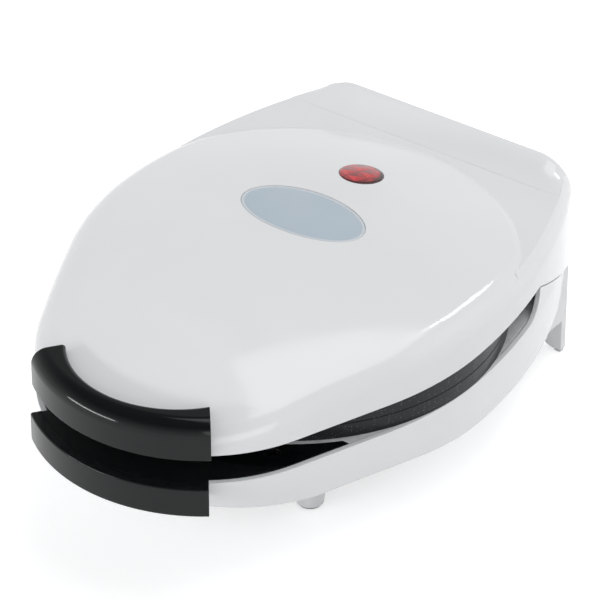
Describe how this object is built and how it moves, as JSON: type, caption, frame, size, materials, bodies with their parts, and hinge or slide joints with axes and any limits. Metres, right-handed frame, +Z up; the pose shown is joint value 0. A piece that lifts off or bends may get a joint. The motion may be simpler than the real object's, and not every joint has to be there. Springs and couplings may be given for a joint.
{
  "type": "electric pizza maker",
  "caption": "White countertop pizza cooker with a domed hinged lid, black split handle, oval badge, red indicator lens and two round heated dishes.",
  "frame": {"origin": "on the floor, under the middle of the whole closed cooker's box", "axes": "+Z up, -Y to the handle, +Y to the hinge, +X to the right seen from the handle"},
  "size_m": [0.217, 0.298, 0.1265],
  "materials": {
    "white_gloss": "high gloss injection-moulded plastic",
    "white_plastic": "semi-gloss moulded plastic",
    "black_plastic": "gloss black moulded plastic",
    "dish_aluminium": "cast, with a dark non-stick coating",
    "sheet_steel": "pressed bright sheet",
    "heater_steel": "drawn tube with a dull heat-stained face",
    "screw_steel": "bright plated",
    "badge_grey": "satin blue-grey inlay",
    "lens_red": "transparent red, faceted behind",
    "lamp_glass": "clear",
    "pad_rubber": "matt",
    "terminal_ceramic": "unglazed",
    "sleeve_fabric": "woven glass sleeve",
    "lead_plastic": "heat-proof insulation"
  },
  "bodies": {
    "base": {"base_shell": "white_plastic", "deck_ring": "white_plastic", "deck_screws": "screw_steel", "lower_handle": "black_plastic", "lower_handle_screws": "screw_steel", "lower_dish": "dish_aluminium", "lower_element": "heater_steel", "lower_element_clamps": "sheet_steel", "lower_heat_shield": "sheet_steel", "lower_dish_screws": "screw_steel", "lower_shield_screws": "screw_steel", "lower_thermostat": "sheet_steel", "lower_thermal_fuse": "sleeve_fabric", "front_feet": "white_plastic", "front_foot_pads": "pad_rubber", "rear_leg_pads": "pad_rubber", "bottom_cover": "white_plastic", "bottom_cover_screws": "screw_steel", "hinge_pin": "screw_steel", "hinge_pin_clips": "sheet_steel", "cord_bush": "black_plastic", "terminal_block": "terminal_ceramic", "base_leads": "lead_plastic"},
    "lid": {"lid_shell": "white_gloss", "lid_frame": "white_plastic", "lid_screws": "screw_steel", "lid_handle": "black_plastic", "lid_handle_screws": "screw_steel", "badge_plate": "badge_grey", "indicator_lens": "lens_red", "lamp_holder": "white_plastic", "neon_lamp": "lamp_glass", "upper_dish": "dish_aluminium", "upper_element": "heater_steel", "upper_element_clamps": "sheet_steel", "upper_heat_shield": "sheet_steel", "upper_dish_screws": "screw_steel", "upper_shield_screws": "screw_steel", "upper_thermostat": "sheet_steel", "upper_thermal_fuse": "sleeve_fabric", "lid_leads": "lead_plastic"}
  },
  "joints": [
    {"name": "lid_hinge", "type": "hinge", "parent": "base", "child": "lid", "pos_m": [0, 0.142, 0.042], "axis": [-1, 0, 0], "range_deg": [0, 100]}
  ]
}
